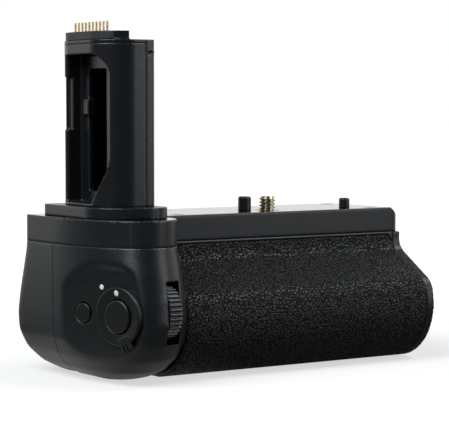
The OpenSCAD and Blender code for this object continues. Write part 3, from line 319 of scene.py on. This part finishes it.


# The first colour is the grooves' painted shade, the second the pebble tops.
skin_rubber = grained_rubber("rubber_pebble_grain", "#010203", "#0c1113")
moulding("grip_cover", "grip", skin_rubber, voxel_mm=0.4, rounds=3, arcs=grip_arcs)
moulding("thumb_pad", "grip", skin_rubber, voxel_mm=0.35, rounds=3, arcs=grip_arcs)

# Tower, the battery shaped plug with its foot flange, back cover and lid. Moulded black ABS, smoother
# than the case because it slides into the camera. Screws from below hold it to the deck, and the cover
# and the lid meet it at hairline seams.

# Satin black, nearly without sand, so that long soft reflections run up the tower.
tower_abs = moulded_plastic("abs_satin_black", "#0f1215", "#14181c", roughness=0.3,
                            grit_mm=0.5, grit_depth_mm=0.005)
# Charcoal rather than black, so that the cover shows as a paler strip beside its seam: partly its own paler,
# browner tone and partly a painted sheen for the light that the strip catches from the right.
cover_abs_painted_sheen = moulded_plastic("abs_satin_charcoal_painted_sheen", "#282726", "#302e2d", roughness=0.32,
                            grit_mm=0.5, grit_depth_mm=0.005)
tower_arcs = [(across, (-69.5, 8), 12, 90, 180), (across, (-69.5, -6.5), 12, 180, 270),
              (across, (-63.2, -16), 2.5, 270, 360), (across, (-63.2, 17.5), 2.5, 0, 90)]
flange_arcs = [(across, (-61.2, 19), 3, 0, 90), (across, (-82.3, 19), 3, 90, 180),
               (across, (-67.3, -9), 18, 180, 270), (across, (-66.2, -19), 8, 270, 360)]
cover_seam, cap_seam = (0, -65.2), (2, 61.7)
moulding("tower_flange", "grip", tower_abs, voxel_mm=0.28, rounds=2, arcs=flange_arcs)
moulding("tower_shell", "grip", tower_abs, voxel_mm=0.34, rounds=2, arcs=tower_arcs,
         seams=[cover_seam, cap_seam])
moulding("tower_back_cover", "grip", cover_abs_painted_sheen, voxel_mm=0.3, rounds=2, arcs=tower_arcs,
         seams=[cover_seam])
moulding("tower_cap", "grip", tower_abs, voxel_mm=0.24, rounds=2, arcs=tower_arcs,
         seams=[cover_seam, cap_seam])

# Contact block, the raised insulator that guides the contacts. Glass filled nylon, moulded and clipped
# into the lid. Paler and duller than the case, because its glass lies open at the skin.
block_nylon = moulded_plastic("nylon_glass_filled", "#232427", "#2b2c2f", roughness=0.55,
                              grit_mm=0.3, grit_depth_mm=0.012)
moulding("contact_block", "grip", block_nylon, voxel_mm=0.2, rounds=3)

# Spring contacts of the tower, and the blades and strips of the chamber and the tray. Brass under a hard
# gold plate, turned for the tower and stamped for the rest, held in their block, chamber and tray.


def plated_metal(name, low, high, roughness, grain_mm, grain_depth_mm):
    """Bare or plated metal: bright, with fine marks that run round it and a slightly uneven tarnish."""
    tarnish_mm = 2.5
    made, tree = empty_material(name)
    place = add_node(tree, "ShaderNodeTexCoord", {}).outputs["Object"]
    tarnish = add_node(tree, "ShaderNodeTexNoise", {
        "Vector": place, "Scale": 1000 / tarnish_mm, "Detail": 3.0})
    tone = add_node(tree, "ShaderNodeMix", {0: tarnish.outputs["Fac"], 6: linear(low), 7: linear(high)},
                    data_type="RGBA")
    squeeze = add_node(tree, "ShaderNodeVectorMath", {0: place, 1: (0.15, 0.15, 1.0)}, operation="MULTIPLY")
    marks = add_node(tree, "ShaderNodeTexNoise", {
        "Vector": squeeze.outputs["Vector"], "Scale": 1000 / grain_mm})
    rough = add_node(tree, "ShaderNodeMapRange", {
        "Value": marks.outputs["Fac"], "To Min": roughness - 0.08, "To Max": roughness + 0.08})
    relief = add_node(tree, "ShaderNodeBump", {
        "Height": marks.outputs["Fac"], "Strength": 1.0, "Distance": grain_depth_mm / 1000})
    shader = add_node(tree, "ShaderNodeBsdfPrincipled", {
        "Base Color": tone.outputs[2], "Metallic": 1.0, "Roughness": rough.outputs["Result"],
        "Normal": relief.outputs["Normal"]})
    add_node(tree, "ShaderNodeOutputMaterial", {"Surface": shader.outputs["BSDF"]})
    return made


def finish_node(material, slot, *names):
    """A CAD node whose shape is right keeps it and takes this finish."""
    for name in names:
        nodes[name].data.materials.clear()
        nodes[name].data.materials.append(material)


# Pale yellow and bright, but too soft a shine to mirror anything.
gold_plate = plated_metal("brass_gold_plated", "#ecd492", "#fdf0c6", roughness=0.4,
                          grain_mm=0.2, grain_depth_mm=0.002)
finish_node(gold_plate, "gold_contact", "contact_pins", "chamber_contacts", "tray_contacts")

# Tripod screw, turned from brass with a quarter inch thread of 1.27 mm pitch. It turns in a dark bush
# pressed into the deck, and its gear is pressed onto the shank below. The socket in the underside is a
# threaded insert of the same brass.


def smooth_mesh(bm, name, material):
    """Ends a bmesh that was built in millimetres and returns it as a smooth mesh in metres."""
    bmesh.ops.scale(bm, vec=(0.001, 0.001, 0.001), verts=bm.verts)
    made = bpy.data.meshes.new(name)
    bm.to_mesh(made)
    bm.free()
    made.shade_smooth()
    made.materials.append(material)
    return made


# Light greyish brass with fine turning marks.
turned_brass = plated_metal("brass_turned", "#b9ab8e", "#e3dac3", roughness=0.24,
                            grain_mm=0.12, grain_depth_mm=0.003)
thread_r, thread_root, thread_pitch, thread_top = 3.175, 2.555, 1.27, 5.3
root_share, flank_share = 0.34, 0.44
lead_in_mm, lead_in_fall = 0.75, 0.9
shank = [(2.0, -14.2), (2.0, -12.6), (3.4, -12.6), (3.4, -0.02)]
around, levels = 72, 96
bm = bmesh.new()
rings = []
for r, z in shank:
    rings.append([bm.verts.new((r * math.cos(t), r * math.sin(t), z))
                  for t in (2 * math.pi * k / around for k in range(around))])
for i in range(levels + 1):
    z = thread_top * i / levels
    ring = []
    for k in range(around):
        turn = k / around
        phase = abs(((z / thread_pitch - turn) % 1) - 0.5) * 2
        rise = min(max((phase - root_share) / flank_share, 0), 1)
        r = thread_root + (thread_r - thread_root) * rise
        r = min(r, thread_r - lead_in_fall * max(0, z - thread_top + lead_in_mm))
        ring.append(bm.verts.new((r * math.cos(2 * math.pi * turn), r * math.sin(2 * math.pi * turn), z)))
    rings.append(ring)
for lower, upper in zip(rings, rings[1:]):
    for k in range(around):
        n = (k + 1) % around
        bm.faces.new((lower[k], lower[n], upper[n], upper[k]))
bm.faces.new(list(reversed(rings[0])))
bm.faces.new(rings[-1])
screw = bpy.data.objects.new("tripod_screw_thread", smooth_mesh(bm, "tripod_screw_thread", turned_brass))
scene.collection.objects.link(screw)
sharp = screw.modifiers.new("Edges", "EDGE_SPLIT")
sharp.split_angle = math.radians(50)
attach(screw, "screw")
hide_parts("tripod_screw")
finish_node(turned_brass, "brass", "tripod_socket")

# Bush and locating pins on the deck, moulded in acetal so that they don't mark the camera, and pressed
# into their holes. Black and waxy, with a blurred shine.
acetal = moulded_plastic("acetal_black", "#121314", "#181a1b", roughness=0.36,
                         grit_mm=0.5, grit_depth_mm=0.004)
moulding("screw_bush", "grip", acetal, voxel_mm=0.12, rounds=2)
moulding("large_locating_pin", "grip", acetal, voxel_mm=0.14, rounds=3)
moulding("small_locating_pin", "grip", acetal, voxel_mm=0.14, rounds=3)

# Shutter button, lock collar and function button on the control face. Moulded black ABS with a satin
# face and hardly any sand; the collar turns round the button by a lever with two slits.
button_abs = moulded_plastic("abs_button_satin", "#0e1011", "#131517", roughness=0.36,
                             grit_mm=0.3, grit_depth_mm=0.006)
moulding("shutter_button", "shutter", button_abs, voxel_mm=0.18, rounds=4)
moulding("lock_collar", "collar", button_abs, voxel_mm=0.18, rounds=2)
moulding("fn_button", "fn", button_abs, voxel_mm=0.18, rounds=4)

# Index dots, one on the control face and one on the collar, which line up when the collar is turned.
# White ink, pad printed, flat and bright.


def printed_dot(name, up_mm, back_mm, height_mm, lean, radius_mm, body):
    """A thin domed spot of ink on the control face, leaning in by so many degrees where that is dished."""
    crown_mm, corners = 0.05, 36
    profile = ((0.75, 0.045), (1.0, 0.01), (1.0, -0.08))
    centre = face_centre + up_mm * face_up + back_mm * face_back + height_mm * face_out
    lean = math.radians(lean)
    top = math.cos(lean) * face_up + math.sin(lean) * face_out
    out = math.cos(lean) * face_out - math.sin(lean) * face_up
    bm = bmesh.new()
    crown = bm.verts.new(centre + crown_mm * out)
    sides = []
    for share, lift in profile:
        sides.append([bm.verts.new(centre + lift * out + share * radius_mm * (
            math.cos(t) * top + math.sin(t) * face_back))
            for t in (2 * math.pi * k / corners for k in range(corners))])
    for k in range(corners):
        n = (k + 1) % corners
        bm.faces.new((crown, sides[0][k], sides[0][n]))
        for inner, outer in zip(sides, sides[1:]):
            bm.faces.new((inner[k], outer[k], outer[n], inner[n]))
    bm.faces.new(list(reversed(sides[-1])))
    bmesh.ops.recalc_face_normals(bm, faces=bm.faces)
    dot = bpy.data.objects.new(name, smooth_mesh(bm, name, white_ink))
    scene.collection.objects.link(dot)
    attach(dot, body)


white_ink = moulded_plastic("ink_white_pad_printed", "#eff1f1", "#f8f9f9", roughness=0.5,
                            grit_mm=0.25, grit_depth_mm=0.004, worn="#fafafa")
printed_dot("index_dot", up_mm=9.6, back_mm=9.2, height_mm=0.0, lean=0, radius_mm=0.95, body="grip")
printed_dot("collar_dot", up_mm=8.1, back_mm=0.45, height_mm=1.87, lean=8, radius_mm=1.05, body="collar")

# Dials, ribbed wheels on steel axles in slots at the front and the back of the pod. Moulded in black ABS
# and painted a satin dark grey, so that the tops of the ribs catch the light.
dial_paint = moulded_plastic("abs_dial_satin_paint", "#2b2d2f", "#3a3c3f", roughness=0.24,
                             grit_mm=0.3, grit_depth_mm=0.004)
moulding("front_dial", "front_wheel", dial_paint, voxel_mm=0.16, rounds=2)
moulding("rear_dial", "rear_wheel", dial_paint, voxel_mm=0.16, rounds=2)

# Rear button and thumb stick on the back of the pod, and the thumb wheel that drives the tripod screw.
# Moulded black ABS, as the front buttons; the stick is held by its gimbal and the wheel by its axle.
moulding("af_button", "af", button_abs, voxel_mm=0.18, rounds=3)
moulding("joystick", "stick", button_abs, voxel_mm=0.14, rounds=3)
moulding("attachment_wheel", "wheel", button_abs, voxel_mm=0.2, rounds=2)

# Battery tray with its end cover and latch, and the chamber that it runs on. Moulded black ABS; the tray
# slides out of the end with its cover, and the latch turns in the cover.
moulding("battery_tray", "tray", case_abs, voxel_mm=0.4, rounds=2)
moulding("tray_end_cover", "tray", case_abs, voxel_mm=0.3, rounds=3)
moulding("tray_latch", "latch", button_abs, voxel_mm=0.2, rounds=3)
finish_node(case_abs, "control_plastic", "battery_chamber")

# Inner metal pieces: screws, clips, brackets, axles, gears and switch cans. Turned or stamped steel under
# a zinc plate, a cool grey with a fine grain and a blurred shine.
plated_steel = plated_metal("steel_zinc_plated", "#8d9194", "#aeb2b4", roughness=0.32,
                            grain_mm=0.25, grain_depth_mm=0.003)
finish_node(plated_steel, "steel", "tower_screws", "screw_gear", "gear_plate", "gear_plate_screws",
            "wheel_gear", "wheel_axle", "deck_screws", "pod_screws", "latch_clip", "board_screws",
            "shutter_switch", "collar_clip", "fn_switch", "front_dial_axle", "dial_bracket",
            "rear_dial_axle", "rear_dial_bracket", "af_switch", "joystick_gimbal", "joystick_base")

# Circuit boards, glass fibre laminate under a green solder mask, the main one hung under the deck by
# screws, and the flat cable in the tower, a polyimide film with a black coverlay.


def masked_board(name, low, high, track_mm):
    """A coated board or film: glossy, with the paler lines of raised copper tracks showing through."""
    track_rise_mm = 0.04
    made, tree = empty_material(name)
    place = add_node(tree, "ShaderNodeTexCoord", {}).outputs["Object"]
    tracks = add_node(tree, "ShaderNodeTexBrick", {
        "Vector": place, "Scale": 1000 / track_mm, "Color1": (1, 1, 1, 1), "Color2": (1, 1, 1, 1),
        "Mortar": (0, 0, 0, 1), "Mortar Size": 0.12})
    tone = add_node(tree, "ShaderNodeMix", {0: tracks.outputs["Color"], 6: linear(high), 7: linear(low)},
                    data_type="RGBA")
    relief = add_node(tree, "ShaderNodeBump", {
        "Height": tracks.outputs["Color"], "Strength": 0.4, "Distance": track_rise_mm / 1000})
    shader = add_node(tree, "ShaderNodeBsdfPrincipled", {
        "Base Color": tone.outputs[2], "Roughness": 0.32, "IOR": 1.5, "Normal": relief.outputs["Normal"]})
    add_node(tree, "ShaderNodeOutputMaterial", {"Surface": shader.outputs["BSDF"]})
    return made


solder_mask = masked_board("laminate_green_solder_mask", "#12402a", "#1d5a3b", track_mm=1.6)
finish_node(solder_mask, "circuit_board", "contact_board", "main_board", "control_board", "rear_board")
polyimide = masked_board("polyimide_black_coverlay", "#0c0b09", "#17130d", track_mm=1.0)
finish_node(polyimide, "flat_cable", "tower_ribbon")

# Floor, a sheet of pale paper that the grip stands on. To the eye it is white further off and greyer under
# the grip, where its glow is turned down as a painted shadow beside the soft shadow that the lamps cast.
# Reflections find it glowing behind and close by on the left and dim elsewhere, a painted reflection, and to
# them and to bounced light its paper is darker, a painted shade.
floor_z = cad_low.z - 0.0001
bm = bmesh.new()
bmesh.ops.create_grid(bm, x_segments=1, y_segments=1, size=6.0)
bmesh.ops.translate(bm, vec=(0, 0, floor_z), verts=bm.verts)
mesh = bpy.data.meshes.new("floor")
bm.to_mesh(mesh)
bm.free()
to_the_back, to_the_left = (0.555, 0.832, 0.0), (-0.555, 0.832, 0.0)
dim = 0.06
sheet, tree = empty_material("paper_white_sheet")
path = add_node(tree, "ShaderNodeLightPath", {})
seen = add_node(tree, "ShaderNodeMath", {
    0: path.outputs["Is Camera Ray"], 1: path.outputs["Is Transmission Ray"]}, operation="MAXIMUM")
place = add_node(tree, "ShaderNodeTexCoord", {}).outputs["Object"]
away = add_node(tree, "ShaderNodeVectorMath", {0: place}, operation="LENGTH")
# Painted shadow: the glow that the eye sees falls from full white far off to 0.62 under the grip.
painted_shadow_fade = add_node(tree, "ShaderNodeMapRange", {
    "Value": away.outputs["Value"], "From Min": 0.1, "From Max": 0.36, "To Min": 0.62, "To Max": 1.0})
# Painted reflection: to reflections the floor glows behind the grip and close by on its left, and stays dim
# elsewhere.
behind = add_node(tree, "ShaderNodeVectorMath", {0: place, 1: to_the_back}, operation="DOT_PRODUCT")
back_lit = add_node(tree, "ShaderNodeMapRange", {
    "Value": behind.outputs["Value"], "From Min": 0.0, "From Max": 0.5, "To Min": dim, "To Max": 1.0},
    interpolation_type="SMOOTHSTEP")
left = add_node(tree, "ShaderNodeVectorMath", {0: place, 1: to_the_left}, operation="DOT_PRODUCT")
left_lit = add_node(tree, "ShaderNodeMapRange", {
    "Value": left.outputs["Value"], "From Min": -0.02, "From Max": 0.06, "To Min": dim, "To Max": 1.0},
    interpolation_type="SMOOTHSTEP")
close = add_node(tree, "ShaderNodeMapRange", {
    "Value": away.outputs["Value"], "From Min": 0.11, "From Max": 0.17, "To Min": 0.5, "To Max": 0.0},
    interpolation_type="SMOOTHSTEP")
near_left = add_node(tree, "ShaderNodeMath", {0: left_lit.outputs["Result"], 1: close.outputs["Result"]},
                     operation="MULTIPLY")
lit = add_node(tree, "ShaderNodeMath", {0: back_lit.outputs["Result"], 1: near_left.outputs["Value"]},
               operation="MAXIMUM")
mirrored = add_node(tree, "ShaderNodeMath", {0: path.outputs["Is Glossy Ray"], 1: lit.outputs["Value"]},
                    operation="MULTIPLY")
glow = add_node(tree, "ShaderNodeMath", {
    0: seen.outputs["Value"], 1: painted_shadow_fade.outputs["Result"], 2: mirrored.outputs["Value"]},
    operation="MULTIPLY_ADD")
# Painted shade: the paper is darker to reflections and bounced light than to the eye.
shade = add_node(tree, "ShaderNodeMix", {
    0: seen.outputs["Value"], 6: linear("#4c4c4c"), 7: linear("#a4a4a4")}, data_type="RGBA")
paper = add_node(tree, "ShaderNodeBsdfDiffuse", {"Color": shade.outputs[2]})
shine = add_node(tree, "ShaderNodeEmission", {"Color": (1, 1, 1, 1), "Strength": glow.outputs["Value"]})
both = add_node(tree, "ShaderNodeAddShader", {0: paper.outputs["BSDF"], 1: shine.outputs["Emission"]})
add_node(tree, "ShaderNodeOutputMaterial", {"Surface": both.outputs["Shader"]})
mesh.materials.append(sheet)
floor = bpy.data.objects.new("floor", mesh)
scene.collection.objects.link(floor)

# Studio, a white surround as the camera sees it and a grey fill for the rest. Reflections find it bright
# low down behind the grip and dark elsewhere, and three soft boxes light the grip itself.
fill = 0.10
world = bpy.data.worlds.new("studio")
scene.world = world
world.use_nodes = True
tree = world.node_tree
tree.nodes.clear()
path = add_node(tree, "ShaderNodeLightPath", {})
seen = add_node(tree, "ShaderNodeMath", {
    0: path.outputs["Is Camera Ray"], 1: path.outputs["Is Transmission Ray"]}, operation="MAXIMUM")
toward = add_node(tree, "ShaderNodeTexCoord", {}).outputs["Generated"]
behind = add_node(tree, "ShaderNodeVectorMath", {0: toward, 1: to_the_back}, operation="DOT_PRODUCT")
back_lit = add_node(tree, "ShaderNodeMapRange", {
    "Value": behind.outputs["Value"], "From Min": -0.15, "From Max": 0.5, "To Min": dim, "To Max": 1.0},
    interpolation_type="SMOOTHSTEP")
height = add_node(tree, "ShaderNodeSeparateXYZ", {"Vector": toward})
low_lit = add_node(tree, "ShaderNodeMapRange", {
    "Value": height.outputs["Z"], "From Min": 0.3, "From Max": 0.75, "To Min": 1.0, "To Max": 0.05},
    interpolation_type="SMOOTHSTEP")
low_back = add_node(tree, "ShaderNodeMath", {0: back_lit.outputs["Result"], 1: low_lit.outputs["Result"]},
                    operation="MULTIPLY")
mirrored = add_node(tree, "ShaderNodeMix", {
    0: path.outputs["Is Glossy Ray"], 2: fill, 3: low_back.outputs["Value"]})
level = add_node(tree, "ShaderNodeMix", {0: seen.outputs["Value"], 2: mirrored.outputs[0], 3: 1.0})
surround = add_node(tree, "ShaderNodeBackground", {"Color": (1, 1, 1, 1), "Strength": level.outputs[0]})
add_node(tree, "ShaderNodeOutputWorld", {"Surface": surround.outputs["Background"]})
aim = Vector((-0.02, 0.0, -0.01))
cool_white = (0.95, 0.98, 1.0)
for name, at, size, watts in (("soft_box_left", (-0.75, -0.15, 0.75), (0.8, 0.8), 12.0),
                              ("soft_box_top", (0.5, -0.32, 0.78), (0.5, 0.4), 4.0),
                              ("soft_box_front", (0.62, -0.85, 0.3), (0.3, 0.7), 2.2)):
    lamp = bpy.data.lights.new(name, "AREA")
    lamp.shape = "RECTANGLE"
    lamp.size, lamp.size_y = size
    lamp.energy = watts
    lamp.color = cool_white
    box = bpy.data.objects.new(name, lamp)
    box.location = at
    box.rotation_euler = (aim - Vector(at)).to_track_quat("-Z", "Y").to_euler()
    scene.collection.objects.link(box)

# Camera, a little above the deck, looking at the control end's corner with a long lens. Its place comes
# from the vanishing lines of the deck and the tower, and the focal length is known in image pixels.
eye = Vector((-0.40755, -0.58172, 0.03932))
ahead = Vector((0.55375, 0.83031, -0.06279))
focal_px, image_px, sensor_mm = 1863, 449, 36.0
camera = bpy.data.cameras.new("camera")
camera.sensor_width = sensor_mm
camera.lens = focal_px / image_px * sensor_mm
camera.clip_start, camera.clip_end = 0.05, 20.0
view = bpy.data.objects.new("camera", camera)
view.location = eye
view.rotation_euler = ahead.to_track_quat("-Z", "Y").to_euler()
scene.collection.objects.link(view)
scene.camera = view
